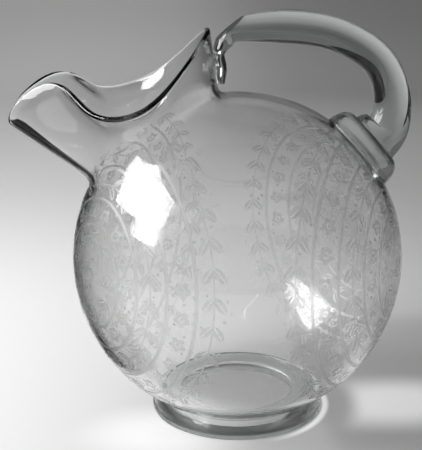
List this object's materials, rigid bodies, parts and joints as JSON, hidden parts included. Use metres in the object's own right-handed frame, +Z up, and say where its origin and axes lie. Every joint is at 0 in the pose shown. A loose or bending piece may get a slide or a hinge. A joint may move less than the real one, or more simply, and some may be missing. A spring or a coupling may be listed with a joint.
{
  "type": "jug",
  "caption": "Clear blown-glass ball jug with a leaning neck, a pinched pouring lip, an applied round foot and a drawn loop handle on a wafer.",
  "frame": {"origin": "middle of the jug's length and width, on the table that the foot ring stands on", "axes": "+Z up, +X towards the handle, -X towards the spout, Y across the jug's plane of symmetry"},
  "size_m": [0.2046, 0.1718, 0.2122],
  "materials": {
    "etched_glass": "clear blown glass with satin-etched leaf sprays on both flanks",
    "clear_glass": "clear, fire-polished"
  },
  "bodies": {
    "root": {"body": "etched_glass", "foot_ring": "clear_glass", "handle_wafer": "clear_glass", "handle": "clear_glass"}
  },
  "joints": []
}
